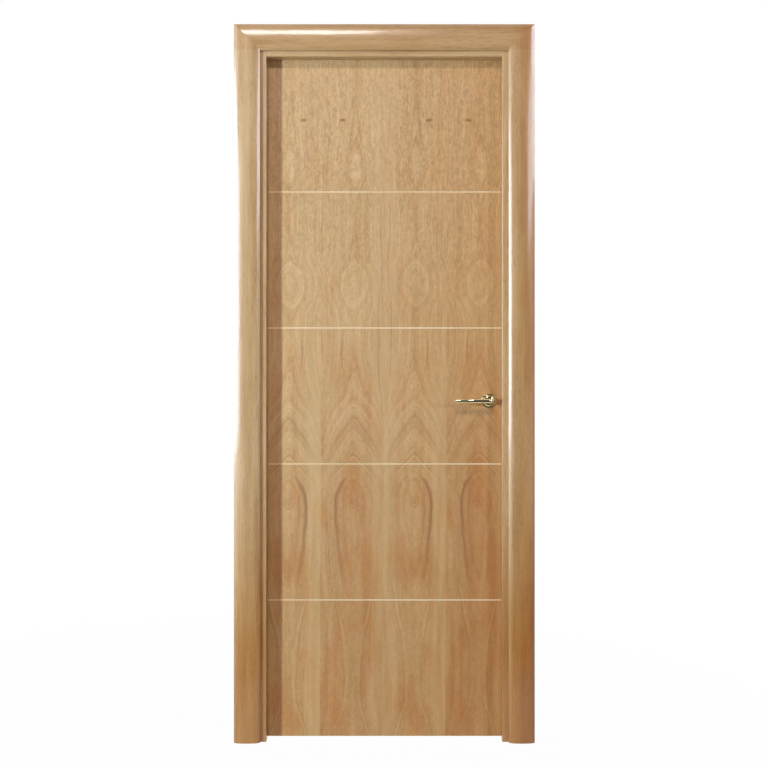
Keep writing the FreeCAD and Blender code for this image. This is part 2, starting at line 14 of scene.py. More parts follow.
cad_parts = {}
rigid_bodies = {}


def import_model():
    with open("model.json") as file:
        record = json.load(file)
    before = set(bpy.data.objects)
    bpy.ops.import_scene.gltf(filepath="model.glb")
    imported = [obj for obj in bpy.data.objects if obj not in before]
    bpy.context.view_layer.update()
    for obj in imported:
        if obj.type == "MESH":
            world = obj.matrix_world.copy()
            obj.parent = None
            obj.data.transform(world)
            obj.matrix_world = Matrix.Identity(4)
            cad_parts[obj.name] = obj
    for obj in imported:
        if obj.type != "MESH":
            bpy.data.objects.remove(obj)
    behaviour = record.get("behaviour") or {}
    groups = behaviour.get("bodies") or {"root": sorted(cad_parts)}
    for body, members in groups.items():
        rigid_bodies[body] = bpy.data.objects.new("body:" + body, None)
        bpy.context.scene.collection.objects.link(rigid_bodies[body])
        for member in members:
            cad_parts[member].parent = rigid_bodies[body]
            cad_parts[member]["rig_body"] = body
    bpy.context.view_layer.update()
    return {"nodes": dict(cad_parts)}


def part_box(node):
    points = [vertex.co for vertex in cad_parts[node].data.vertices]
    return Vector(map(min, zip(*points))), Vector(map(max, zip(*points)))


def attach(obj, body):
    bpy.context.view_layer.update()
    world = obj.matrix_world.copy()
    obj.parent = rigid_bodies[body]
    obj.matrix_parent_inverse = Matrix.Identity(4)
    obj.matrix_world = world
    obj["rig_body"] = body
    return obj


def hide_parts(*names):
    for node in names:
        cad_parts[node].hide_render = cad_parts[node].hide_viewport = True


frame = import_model()

LOG = logging.getLogger("veneer_door")

Triple = tuple[float, float, float]
Shares = tuple[tuple[str, float], ...]
Colour = tuple[float, float, float, float]
Tones = Sequence[tuple[float, Colour]]
Pairs = Sequence[tuple[float, float]]
Socket = bpy.types.NodeSocket
Feed = Socket | float | Sequence[float]
Material = bpy.types.Material
Shape = bmesh.types.BMesh


class GrainRun(Enum):
    """Which way the grain of a straight timber runs."""

    UPRIGHT = "upright"
    LEVEL = "level"


class Side(Enum):
    """The two faces of the leaf, by the way each one looks along Y."""

    FRONT = -1
    BACK = 1


def tone(red: float, green: float, blue: float) -> Colour:
    """Turns a screen colour, with parts from 0 to 255, into the linear colour that shaders use."""
    parts = [part / 255 for part in (red, green, blue)]
    return (*[part / 12.92 if part <= 0.04045 else ((part + 0.055) / 1.055) ** 2.4 for part in parts], 1.0)


WHITE = (1.0, 1.0, 1.0, 1.0)
# Tint of the painted shade towards the latch side, the foot and the head, partly the timber's own tone.
SHADE_AND_TONE_TINT = (0.80, 0.57, 0.28, 1.0)
PALE_RING = tone(222, 198, 160)


# Shader boards


class Board:
    """Adds and joins the nodes of one shader tree."""

    def __init__(self, tree: bpy.types.NodeTree) -> None:
        """Keeps the tree that the nodes go into."""
        self.tree = tree

    def feed(self, socket: Socket, value: Feed) -> None:
        """Joins a socket to another one, or writes its plain value.

        Args:
            socket: The input to fill.
            value: Another node's output, a number, or a list of numbers.
        """
        if isinstance(value, Socket):
            self.tree.links.new(value, socket)
        else:
            socket.default_value = value

    def node(self, kind: str, inputs: dict[str | int, Feed] | None = None, **settings: object) -> bpy.types.Node:
        """Adds a node.

        Args:
            kind: Blender's name of the node's type.
            inputs: What goes into its inputs, by name or number.
            **settings: The node's own settings.

        Returns:
            The new node.
        """
        made = self.tree.nodes.new(kind)
        for name, value in settings.items():
            setattr(made, name, value)
        for name, value in (inputs or {}).items():
            self.feed(made.inputs[name], value)
        return made

    def number(self, operation: str, *terms: Feed) -> Socket:
        """Adds one step of arithmetic, with Blender's name of the operation."""
        return self.node("ShaderNodeMath", dict(enumerate(terms)), operation=operation).outputs[0]

    def plus(self, first: Feed, second: Feed) -> Socket:
        """Adds two numbers."""
        return self.number("ADD", first, second)

    def minus(self, first: Feed, second: Feed) -> Socket:
        """Takes the second number from the first."""
        return self.number("SUBTRACT", first, second)

    def larger(self, first: Feed, second: Feed) -> Socket:
        """Picks the larger of two numbers."""
        return self.number("MAXIMUM", first, second)

    def times(self, first: Feed, *others: Feed) -> Feed:
        """Multiplies numbers, from left to right. One alone stays as it is."""
        return self.times(self.number("MULTIPLY", first, others[0]), *others[1:]) if others else first

    def swing(self, noise: Feed, amount: Feed) -> Feed:
        """Centres noise on 0 and scales it."""
        return self.times(self.minus(noise, 0.5), amount)

    def eased(self, value: Feed, low: float, high: float, start: float = 0.0, end: float = 1.0) -> Socket:
        """Runs smoothly from start to end while a value runs from low to high."""
        inputs = dict(enumerate((value, low, high, start, end)))
        return self.node("ShaderNodeMapRange", inputs, interpolation_type="SMOOTHSTEP").outputs[0]

    def ridge(self, distance: Feed, half_width: float) -> Socket:
        """Draws a soft line that is 1 where distance is 0 and ends at half_width."""
        return self.eased(self.number("ABSOLUTE", distance), 0.0, half_width, 1.0, 0.0)

    def window(self, value: Feed, low: float, high: float, soft: float) -> Feed:
        """Is 1 between two limits and fades out at both, over twice the width called soft."""
        fall = self.eased(value, high - soft, high + soft, 1.0, 0.0)
        return self.times(self.eased(value, low - soft, low + soft), fall)

    def noise(self, vector: Feed, scale: Feed, detail: float = 2.0, roughness: float = 0.5,
              distortion: float = 0.0) -> Socket:
        """Adds soft noise in space, about 0.5 on average, with scale in features per metre."""
        inputs = {"Vector": vector, "Scale": scale, "Detail": detail, "Roughness": roughness, "Distortion": distortion}
        return self.node("ShaderNodeTexNoise", inputs).outputs[0]

    def grain(self, vector: Feed, squeeze: float, **settings: float) -> Socket:
        """Adds noise that is drawn out along Z, where squeeze is below 1. The settings are those of noise."""
        inputs = {0: vector, 1: (1.0, 1.0, squeeze)}
        return self.noise(self.node("ShaderNodeVectorMath", inputs, operation="MULTIPLY").outputs[0], **settings)

    def bands(self, value: Feed, scale: float, detail: float) -> Socket:
        """Adds noise along one value, so that all places with the same value look the same."""
        inputs = {"W": value, "Scale": scale, "Detail": detail}
        return self.node("ShaderNodeTexNoise", inputs, noise_dimensions="1D").outputs[0]

    def parts(self, vector: Feed) -> list[Socket]:
        """Splits a place into its three numbers."""
        return list(self.node("ShaderNodeSeparateXYZ", {0: vector}).outputs)

    def place(self, x: Feed, y: Feed, z: Feed) -> Socket:
        """Joins three numbers into a place."""
        return self.node("ShaderNodeCombineXYZ", {0: x, 1: y, 2: z}).outputs[0]

    def length(self, vector: Feed) -> Socket:
        """Measures how far a place is from the origin."""
        return self.node("ShaderNodeVectorMath", {0: vector}, operation="LENGTH").outputs["Value"]

    def reach(self, x: Feed, z: Feed, centre: tuple[float, float], squash: float) -> Socket:
        """Measures how far a place is from an upright oval's centre, with heights times squash."""
        return self.length(self.place(self.minus(x, centre[0]), 0.0, self.times(self.minus(z, centre[1]), squash)))

    def painted(self, colour: Feed, paint: Feed, *shares: Feed, how: str = "MIX") -> Socket:
        """Lays one colour over another, as far as the product of the shares says."""
        inputs = {0: self.times(*shares), 6: colour, 7: paint}
        return self.node("ShaderNodeMix", inputs, data_type="RGBA", blend_type=how).outputs[2]

    def tinted(self, colour: Feed, tint: Feed, *shares: Feed) -> Socket:
        """Multiplies a colour by a tint, as far as the product of the shares says."""
        return self.painted(colour, tint, *shares, how="MULTIPLY")

    def ramp(self, value: Feed, stops: Tones) -> Socket:
        """Turns a value into a colour.

        Args:
            value: The value, from 0 to 1.
            stops: Places on the ramp with their colours.

        Returns:
            The colour.
        """
        made = self.node("ShaderNodeValToRGB", {0: value})
        elements = made.color_ramp.elements
        while len(elements) < len(stops):
            elements.new(1.0)
        for element, (position, colour) in zip(elements, stops):
            element.position = position
            element.color = colour
        return made.outputs[0]

    def curve(self, value: Feed, knots: Pairs) -> Feed:
        """Follows a smooth curve through knots of value and result.

        Args:
            value: What the curve reads.
            knots: Pairs of a value and the result there, in rising order, with no result below 0.

        Returns:
            The curve's result.
        """
        first, last = knots[0][0], knots[-1][0]
        top = max(height for _, height in knots)
        share = self.node("ShaderNodeMapRange", {0: value, 1: first, 2: last}).outputs[0]
        made = self.node("ShaderNodeFloatCurve", {"Value": share})
        points = made.mapping.curves[0].points
        while len(points) < len(knots):
            points.new(0.5, 0.5)
        for point, (spot, height) in zip(points, knots):
            point.location = ((spot - first) / (last - first), height / top)
        made.mapping.update()
        return self.times(made.outputs[0], top)


class Surface(Board):
    """The shader tree of one material of the door."""

    def __init__(self, name: str, run: GrainRun = GrainRun.UPRIGHT) -> None:
        """Starts a material.

        Args:
            name: The material's name.
            run: Which way its grain runs. The shared effects' grain runs along Z.
        """
        self.material = bpy.data.materials.new(name)
        self.material.use_nodes = True
        super().__init__(self.material.node_tree)
        self.shader = next(node for node in self.tree.nodes if node.type == "BSDF_PRINCIPLED")
        self.spot = self.grain_spot = self.node("ShaderNodeTexCoord").outputs["Object"]
        if run is GrainRun.LEVEL:
            inputs = {"Vector": self.spot, "Rotation": (0.0, math.pi / 2, 0.0)}
            self.grain_spot = self.node("ShaderNodeMapping", inputs).outputs[0]

    def bump(self, relief: Feed, strength: float, depth: float = 0.0002) -> Socket:
        """Turns a relief into a normal, with its depth in metres."""
        return self.node("ShaderNodeBump", {"Strength": strength, "Distance": depth, "Height": relief}).outputs[0]

    def finished(self, **inputs: Feed) -> Material:
        """Joins the main shader to what it shows.

        Args:
            **inputs: What goes into the shader's inputs, by their names with _ for a space.

        Returns:
            The material.
        """
        for name, value in inputs.items():
            self.feed(self.shader.inputs[name.replace("_", " ")], value)
        return self.material


class Effect:
    """A shader node group with named inputs and outputs that materials share."""

    def __init__(self, name: str, inputs: Sequence[str], outputs: Sequence[str]) -> None:
        """Makes the group's tree and its sockets. Its first input is a place.

        Args:
            name: The group's name.
            inputs: The names of the numbers that it takes.
            outputs: The names of the numbers that it puts out.
        """
        self.tree = bpy.data.node_groups.new(name, "ShaderNodeTree")
        self.tree.interface.new_socket(name="Place", in_out="INPUT", socket_type="NodeSocketVector")
        for in_out, names in (("INPUT", inputs), ("OUTPUT", outputs)):
            for socket_name in names:
                self.tree.interface.new_socket(name=socket_name, in_out=in_out, socket_type="NodeSocketFloat")
        self.board = Board(self.tree)
        self.given = self.board.node("NodeGroupInput").outputs
        self.results = self.board.node("NodeGroupOutput").inputs

    def put_out(self, **values: Socket) -> None:
        """Joins each named output to the value that it puts out."""
        for name, value in values.items():
            self.board.feed(self.results[name], value)

    def place_in(self, board: Board, place: Feed, **values: float) -> bpy.types.bpy_prop_collection:
        """Places the effect in a material, with that material's values, and gives its outputs."""
        return board.node("ShaderNodeGroup", {"Place": place, **values}, node_tree=self.tree).outputs


def fibre_effect() -> Effect:
    """Builds the fibres, pores and fine relief of straight timber, whose grain runs along Z.

    Returns:
        An effect with the outputs Streaks, Pores and Relief.
    """
    effect = Effect("timber_fibres", ("Fineness", "Pore_Share"), ("Streaks", "Pores", "Relief"))
    board, given = effect.board, effect.given
    inputs = {0: given["Place"], "Scale": given["Fineness"]}
    sized = board.node("ShaderNodeVectorMath", inputs, operation="SCALE").outputs[0]
    broad = board.grain(sized, 0.05, scale=45.0, detail=3.0, roughness=0.55, distortion=0.3)
    fine = board.grain(sized, 0.03, scale=420.0, roughness=0.6)
    dashes = board.grain(sized, 0.07, scale=700.0, detail=0.0)
    patches = board.grain(sized, 0.25, scale=30.0, detail=1.0)
    sparse = board.times(dashes, board.eased(patches, 0.3, 0.7, 0.85, 1.12))
    pores = board.times(board.eased(sparse, 0.62, 0.72), given["Pore_Share"])
    effect.put_out(Streaks=board.plus(board.times(broad, 0.6), board.times(fine, 0.4)), Pores=pores,
                   Relief=board.minus(board.times(fine, 0.5), pores))
    return effect


def handling_effect() -> Effect:
    """Builds the faint cloudiness and hairlines that handling leaves on a hard finish.

    Returns:
        An effect with the outputs Haze and Hairlines.
    """
    effect = Effect("handling_marks", ("Haze_Scale",), ("Haze", "Hairlines"))
    board, given = effect.board, effect.given
    clouds = board.noise(given["Place"], given["Haze_Scale"], detail=3.0)
    lines = board.grain(given["Place"], 0.12, scale=900.0, roughness=0.6, distortion=0.5)
    effect.put_out(Haze=board.eased(clouds, 0.35, 0.7), Hairlines=board.eased(lines, 0.6, 0.75))
    return effect


# Heights where the painted shade near the floor and under the head fades in.
FOOT_HEIGHTS = (0.80, 0.12)
HEAD_HEIGHTS = (2.028, 2.034)


def painted_shade_and_tone_effect() -> Effect:
    """Builds the slow change to a deeper, ruddier tone towards the latch side, the foot and the head: painted shade
    near the floor and under the head, and towards the latch side painted shade mixed with the timber's own tone.

    Returns:
        An effect with the outputs Latch, Foot and Head.
    """
    effect = Effect("timber_painted_shade_and_tone", ("Latch_Start", "Latch_End"), ("Latch", "Foot", "Head"))
    board, given = effect.board, effect.given
    x, _, z = board.parts(given["Place"])
    effect.put_out(Latch=board.eased(x, given["Latch_Start"], given["Latch_End"]), Foot=board.eased(z, *FOOT_HEIGHTS),
                   Head=board.eased(z, *HEAD_HEIGHTS))
    return effect


class Effects:
    """The effects that more than one finish uses, each built once."""

    def __init__(self) -> None:
        """Builds the effects."""
        self.fibres = fibre_effect()
        self.handling = handling_effect()
        # Painted shade, partly the timber's own tone, towards the latch side, the foot and the head.
        self.painted_shade_and_tone = painted_shade_and_tone_effect()


# Finishes


@dataclass(frozen=True)
class RingLine:
    """One growth ring that stands out from the rest, between a low and a high place along the grain."""

    level: float
    half_width: float
    low: float
    high: float
    share: float
    colour: Colour


@dataclass(frozen=True)
class VeneerSpot:
    """Where a place lies in the veneer.

    Attributes:
        board: The material's board.
        across: Distance from its veneer leaf's outer seam.
        along: Place along its veneer leaf's grain.
        height: Height above the floor.
        turned: 1 on veneer leaves that were turned over, else 0.
        rings: Which growth ring it belongs to.
        own: The place within its veneer leaf.
    """

    board: Board
    across: Socket
    along: Socket
    height: Socket
    turned: Socket
    rings: Socket
    own: Socket


@dataclass(frozen=True)
class BookMatchedVeneer:
    """Light hardwood veneer in four book-matched leaves, under a satin varnish."""

    effects: Effects
    leaf_width: float = 0.1866
    first_seam: float = 0.2158
    seam_height: float = 1.837
    seam_lean: float = 0.0062
    leaf_drift: float = 0.003
    leaf_offset: float = 0.012
    heart: float = 0.096
    heart_round: float = 0.012
    sway: float = 0.030
    shiver: float = 0.0055
    edge_spread: float = 0.045
    edge_crowding: float = 14.0
    ring_rise: Pairs = ((-0.06, 0.0), (0.05, 0.045), (0.17, 0.07), (0.40, 0.042), (0.4755, 0.0245), (0.568, 0.0135),
                        (0.64, 0.0045), (0.695, 0.0), (0.74, 0.010), (0.790, 0.045), (0.836, 0.08), (0.955, 0.157),
                        (1.095, 0.227), (1.18, 0.235), (1.26, 0.229), (1.347, 0.19), (1.432, 0.226), (1.53, 0.233),
                        (1.62, 0.228), (1.70, 0.214), (1.79, 0.228), (2.05, 0.232))
    ring_tones: Tones = ((0.32, tone(180, 138, 90)), (0.44, tone(196, 160, 110)), (0.50, tone(204, 171, 123)),
                         (0.58, tone(212, 181, 135)), (0.70, tone(222, 196, 154)))
    curl_tints: Tones = ((0.34, (0.84, 0.81, 0.76, 1)), (0.5, WHITE), (0.62, (1.10, 1.12, 1.15, 1)))
    streak_tints: Tones = ((0.36, (0.84, 0.82, 0.78, 1)), (0.5, WHITE), (0.64, (1.10, 1.12, 1.15, 1)))
    streak_share: float = 0.55
    pore_tone: Colour = tone(150, 112, 76)
    pore_share: float = 0.25
    # How strongly the painted shade, partly the veneer's own tone, darkens the latch side and the foot.
    shade_and_tone_shares: Shares = (("Latch", 0.46), ("Foot", 0.30))
    turned_tint: Colour = tone(242, 226, 214)
    cloud_tint: Colour = tone(246, 222, 196)
    heart_tint: Colour = tone(240, 218, 198)
    sapwood_tone: Colour = tone(212, 184, 136)
    middle_tone: Colour = tone(212, 182, 138)
    outline_level: float = 0.0543
    outline_soft: float = 0.012
    line_wander: float = 0.006
    ring_lines: tuple[RingLine, ...] = (
        RingLine(0.0543, 0.0090, 0.46, 0.78, 0.70, tone(152, 100, 56)),
        RingLine(0.0480, 0.0200, 0.44, 0.80, 0.30, tone(168, 118, 74)),
        RingLine(0.0330, 0.0030, 0.56, 0.74, 0.30, tone(164, 112, 74)),
        RingLine(0.1690, 0.0070, 0.86, 0.965, 0.30, tone(160, 114, 72)),
        RingLine(0.1500, 0.0030, 0.84, 0.95, 0.12, tone(168, 120, 82)),
        RingLine(0.2370, 0.0030, 1.02, 1.10, 0.40, PALE_RING),
        RingLine(0.1950, 0.0020, 0.94, 1.02, 0.40, PALE_RING),
        RingLine(0.1840, 0.0020, 0.93, 1.00, 0.35, PALE_RING),
        RingLine(0.1760, 0.0020, 0.92, 0.99, 0.30, PALE_RING),
    )
    swirl_height: float = 0.698
    swirl_pitch: float = 0.0042
    swirl_squash: float = 0.8
    swirl_tone: Colour = tone(158, 110, 68)
    seam_pair: Pairs = ((0.80, 0.004), (0.95, 0.007), (1.04, 0.0127), (1.10, 0.0172), (1.20, 0.0197), (1.30, 0.018),
                        (1.39, 0.0085), (1.53, 0.015), (1.66, 0.014))
    pair_half: float = 0.0024
    pair_tone: Colour = tone(158, 112, 78)
    gum_across: float = 0.0585
    gum_height: float = 1.15
    gum_bow: float = 1.6
    gum_half: float = 0.0021
    gum_tone: Colour = tone(128, 94, 62)
    knot_across: float = 0.0575
    knot_height: float = 1.837
    knot_squash: float = 2.2
    knot_radii: tuple[float, float] = (0.0150, 0.0030)
    knot_tone: Colour = tone(150, 92, 44)

    def material(self) -> Material:
        """Builds the veneer's material.

        Returns:
            The material.
        """
        board = Surface("book_matched_veneer")
        across, height, number, turned = self.book_match().place_in(board, board.spot)
        along = board.minus(height, board.times(number, self.leaf_drift))
        own = board.place(across, board.times(number, self.leaf_offset), along)
        drift = board.plus(board.swing(board.grain(own, 0.4, scale=11.0), self.sway),
                           board.swing(board.grain(own, 0.35, scale=70.0), self.shiver))
        aside = board.plus(board.minus(across, self.heart), drift)
        spread = board.number("SQRT", board.plus(board.times(aside, aside), self.heart_round ** 2))
        beyond = board.larger(board.minus(spread, self.edge_spread), 0.0)
        crowded = board.plus(spread, board.times(beyond, beyond, self.edge_crowding))
        rings = board.plus(crowded, board.curve(along, self.ring_rise))
        spot = VeneerSpot(board, across, along, height, turned, rings, own)
        colour = self.fine_lines(spot, self.leaf_tones(spot, self.ring_colour(spot)))
        fibres = self.effects.fibres.place_in(board, own, Fineness=1.3, Pore_Share=0.5)
        colour = board.tinted(colour, board.ramp(fibres["Streaks"], self.streak_tints), self.streak_share)
        colour = board.painted(colour, self.pore_tone, fibres["Pores"], self.pore_share)
        # Painted shade towards the latch side and the foot, partly the veneer's own tone.
        depth = self.effects.painted_shade_and_tone.place_in(board, board.spot, Latch_Start=0.25, Latch_End=0.85)
        for name, share in self.shade_and_tone_shares:
            colour = board.tinted(colour, SHADE_AND_TONE_TINT, depth[name], share)
        marks = self.effects.handling.place_in(board, board.spot, Haze_Scale=9.0)
        roughness = board.eased(marks["Haze"], 0.0, 1.0, 0.42, 0.52)
        return board.finished(Base_Color=colour, Roughness=roughness, Normal=board.bump(fibres["Relief"], 0.25),
                              Coat_Weight=0.12, Coat_Roughness=0.28)

    def book_match(self) -> Effect:
        """Lays veneer leaves side by side, each turned over from its neighbour.

        Returns:
            An effect with the outputs Across, Along, Leaf_Number and Turned.
        """
        effect = Effect("book_match", (), ("Across", "Along", "Leaf_Number", "Turned"))
        board = effect.board
        x, _, z = board.parts(effect.given["Place"])
        lean = board.times(board.minus(z, self.seam_height), self.seam_lean)
        run = board.minus(board.minus(x, lean), self.first_seam)
        number = board.number("FLOOR", board.number("DIVIDE", run, self.leaf_width))
        effect.put_out(Across=board.number("PINGPONG", run, self.leaf_width), Along=z, Leaf_Number=number,
                       Turned=board.minus(1.0, board.number("PINGPONG", number, 1.0)))
        return effect

    def ring_colour(self, spot: VeneerSpot) -> Socket:
        """Paints the growth rings and the fine curl over them.

        Args:
            spot: The place in the veneer.

        Returns:
            The colour so far.
        """
        board = spot.board
        patches = board.eased(board.grain(spot.own, 0.5, scale=14.0, detail=1.0), 0.35, 0.6, 0.25, 1.0)
        clear = board.times(patches, board.eased(spot.along, 0.40, 0.95, 0.34, 0.42))
        narrow = board.times(board.swing(board.bands(spot.rings, scale=150.0, detail=3.0), clear), 0.62)
        wide = board.plus(board.times(board.bands(spot.rings, scale=34.0, detail=1.0), 0.25), 0.375)
        colour = board.ramp(board.plus(narrow, wide), self.ring_tones)
        curl = board.ramp(board.grain(spot.own, 0.42, scale=120.0, roughness=0.6, distortion=1.2), self.curl_tints)
        return board.tinted(colour, curl, board.eased(spot.along, 1.15, 1.75, 0.5, 1.0))

    def leaf_tones(self, spot: VeneerSpot, colour: Feed) -> Socket:
        """Tones each veneer leaf, its pale sapwood edges and the ruddy heart of the lower eye.

        Args:
            spot: The place in the veneer.
            colour: The colour so far.

        Returns:
            The toned colour.
        """
        board, across, along, turned = spot.board, spot.across, spot.along, spot.turned
        low = board.eased(along, 1.32, 0.85)
        colour = board.tinted(colour, self.turned_tint, turned, low, 0.45)
        clouds = board.noise(board.place(across, turned, board.times(along, 0.3)), scale=17.0, detail=3.0)
        colour = board.tinted(colour, self.cloud_tint, board.eased(clouds, 0.42, 0.66),
                              board.eased(along, 1.3, 0.8, 0.3, 0.75))
        colour = board.painted(colour, self.sapwood_tone, board.eased(across, 0.052, 0.030),
                               board.minus(1.0, turned), low, 0.45)
        colour = board.painted(colour, self.middle_tone, board.eased(across, 0.146, 0.158),
                               board.eased(along, 1.9, 1.5, 0.2, 0.35))
        inside = board.eased(spot.rings, self.outline_level + self.outline_soft, self.outline_level - self.outline_soft)
        return board.tinted(colour, self.heart_tint, inside, board.window(along, 0.36, 0.86, 0.06), 0.3)

    def fine_lines(self, spot: VeneerSpot, colour: Feed) -> Socket:
        """Draws the rings that stand out, the swirls, the gum lines and the pin knots.

        Args:
            spot: The place in the veneer.
            colour: The colour so far.

        Returns:
            The colour with its lines.
        """
        board, across, along = spot.board, spot.across, spot.along
        wander = board.swing(board.noise(spot.own, scale=26.0), self.line_wander)
        clear_side = board.larger(board.eased(across, 0.062, 0.088, 1.0, 0.12), board.eased(along, 0.80, 0.84))
        clear_side = board.times(clear_side, board.eased(along, 0.46, 0.68, 0.4, 1.0))
        for line in self.ring_lines:
            ring = board.ridge(board.plus(board.minus(spot.rings, line.level), wander), line.half_width)
            drawn = board.window(along, line.low, line.high, 0.04)
            colour = board.painted(colour, line.colour, ring, drawn, clear_side, line.share)
        reach = board.plus(board.reach(across, along, (self.heart, self.swirl_height), self.swirl_squash), wander)
        swirl = board.eased(board.number("PINGPONG", reach, self.swirl_pitch), 0.0, self.swirl_pitch)
        colour = board.painted(colour, self.swirl_tone, swirl, board.eased(reach, 0.020, 0.008, 0.0, 0.4))
        off_seam = board.minus(board.minus(self.leaf_width, across), board.curve(along, self.seam_pair))
        pair = board.ridge(board.plus(off_seam, board.times(wander, 0.4)), self.pair_half)
        faint = board.eased(board.grain(spot.own, 0.3, scale=30.0, detail=1.0), 0.3, 0.6, 0.25, 0.6)
        colour = board.painted(colour, self.pair_tone, pair, board.window(along, 0.98, 1.58, 0.08), faint)
        bow = board.times(board.number("POWER", board.minus(along, self.gum_height), 2.0), self.gum_bow)
        gum = board.ridge(board.minus(board.minus(across, self.gum_across), bow), self.gum_half)
        colour = board.painted(colour, self.gum_tone, gum, board.window(along, 1.10, 1.19, 0.035), 0.7)
        reach = board.reach(across, spot.height, (self.knot_across, self.knot_height), self.knot_squash)
        knot = board.eased(board.plus(reach, wander), *self.knot_radii)
        return board.painted(colour, self.knot_tone, knot, 0.85)


@dataclass(frozen=True)
class FrameTimber:
    """Straight-grained timber under a gloss varnish."""

    effects: Effects
    run: GrainRun
    pore_tone: Colour = tone(132, 92, 54)
    streak_tones: Tones = ((0.32, tone(184, 147, 101)), (0.46, tone(196, 162, 116)), (0.54, tone(203, 171, 126)),
                           (0.68, tone(213, 185, 143)))
    # How strongly the painted shade, partly the timber's own tone, darkens the latch side, the foot and the head.
    shade_and_tone_shares: Shares = (("Latch", 0.65), ("Foot", 1.0), ("Head", 0.3))

    def material(self) -> Material:
        """Builds the frame timber's material.

        Returns:
            The material.
        """
        board = Surface(f"varnished_timber_{self.run.value}", self.run)
        fibres = self.effects.fibres.place_in(board, board.grain_spot, Fineness=1.0, Pore_Share=0.6)
        colour = board.ramp(fibres["Streaks"], self.streak_tones)
        colour = board.painted(colour, self.pore_tone, fibres["Pores"], 0.45)
        # Painted shade towards the latch side, near the floor and under the head, partly the timber's own tone.
        depth = self.effects.painted_shade_and_tone.place_in(board, board.spot, Latch_Start=0.755, Latch_End=0.82)
        for name, share in self.shade_and_tone_shares:
            colour = board.tinted(colour, SHADE_AND_TONE_TINT, depth[name], share)
        marks = self.effects.handling.place_in(board, board.grain_spot, Haze_Scale=14.0)
        roughness = board.eased(marks["Haze"], 0.0, 1.0, 0.30, 0.40)
        return board.finished(Base_Color=colour, Roughness=roughness, Normal=board.bump(fibres["Relief"], 0.2),
                              Coat_Weight=0.7, Coat_Roughness=0.12)


@dataclass(frozen=True)
class PlainTimber:
    """Plain timber with fine streaks: the pale strips of the inlay, and the leaf's hidden core."""

    effects: Effects
    name: str
    dark: Colour
    pale: Colour
    run: GrainRun
    roughness: float = 0.6
    roughness_swing: float = 0.05

    def material(self) -> Material:
        """Builds the plain timber's material.

        Returns:
            The material.
        """
        board = Surface(self.name, self.run)
        fibres = self.effects.fibres.place_in(board, board.grain_spot, Fineness=1.4, Pore_Share=0.4)
        colour = board.ramp(fibres["Streaks"], ((0.36, self.dark), (0.62, self.pale)))
        colour = board.painted(colour, self.dark, fibres["Pores"], 0.25)
        roughness = board.eased(fibres["Streaks"], 0.3, 0.7, self.roughness + self.roughness_swing,
                                self.roughness - self.roughness_swing)
        return board.finished(Base_Color=colour, Roughness=roughness, Normal=board.bump(fibres["Relief"], 0.3))


@dataclass(frozen=True)
class Metal:
    """Polished or brushed metal with faint handling marks."""

    effects: Effects
    name: str
    bright: Colour
    dull: Colour
    smooth: float
    rough: float

    def material(self) -> Material:
        """Builds the metal's material.

        Returns:
            The material.
        """
        board = Surface(self.name)
        marks = self.effects.handling.place_in(board, board.spot, Haze_Scale=60.0)
        colour = board.painted(self.bright, self.dull, marks["Haze"], 0.6)
        roughness = board.eased(marks["Haze"], 0.0, 1.0, self.smooth, self.rough)
        return board.finished(Base_Color=colour, Roughness=roughness, Metallic=1.0,
                              Normal=board.bump(marks["Hairlines"], 0.08, 0.0001))


@dataclass(frozen=True)
class SealRubber:
    """Brown rubber of the draught seals."""

    effects: Effects

    def material(self) -> Material:
        """Builds the rubber's material.

        Returns:
            The material.
        """
        board = Surface("seal_rubber")
        grit = board.noise(board.spot, scale=1400.0)
        marks = self.effects.handling.place_in(board, board.spot, Haze_Scale=25.0)
        colour = board.painted(tone(70, 48, 34), tone(88, 64, 46), marks["Haze"])
        roughness = board.eased(grit, 0.3, 0.7, 0.62, 0.78)
        return board.finished(Base_Color=colour, Roughness=roughness, Specular_IOR_Level=0.2,
                              Normal=board.bump(grit, 0.3, 0.0001))


class Palette:
    """All finishes of the door, each built once."""

    def __init__(self) -> None:
        """Builds every finish."""
        effects = Effects()
        self.veneer = BookMatchedVeneer(effects).material()
        self.frame_upright = FrameTimber(effects, GrainRun.UPRIGHT).material()
        self.frame_level = FrameTimber(effects, GrainRun.LEVEL).material()
        self.inlay = PlainTimber(effects, "pale_inlay", tone(222, 200, 158), tone(242, 224, 190), GrainRun.LEVEL,
                                 0.42).material()
        core = (tone(196, 164, 118), tone(220, 194, 152))
        self.core_upright = PlainTimber(effects, "core_upright", *core, GrainRun.UPRIGHT).material()
        self.core_level = PlainTimber(effects, "core_level", *core, GrainRun.LEVEL).material()
        self.brass = Metal(effects, "polished_brass", tone(226, 212, 170), tone(200, 182, 134), 0.09, 0.16).material()
        self.steel = Metal(effects, "zinc_steel", tone(196, 198, 200), tone(168, 170, 172), 0.26, 0.38).material()
        self.rubber = SealRubber(effects).material()


# Pieces


MERGE_REACH = 1e-6
LARGE_ROUNDING = 0.004
LARGE_SEGMENTS = 16
SMALL_SEGMENTS = 5


def linked(name: str, data: bpy.types.ID) -> bpy.types.Object:
    """Makes an object and links it to the scene.

    Args:
        name: The object's name.
        data: Its mesh, lamp or camera.

    Returns:
        The object.
    """
    made = bpy.data.objects.new(name, data)
    bpy.context.scene.collection.objects.link(made)
    return made


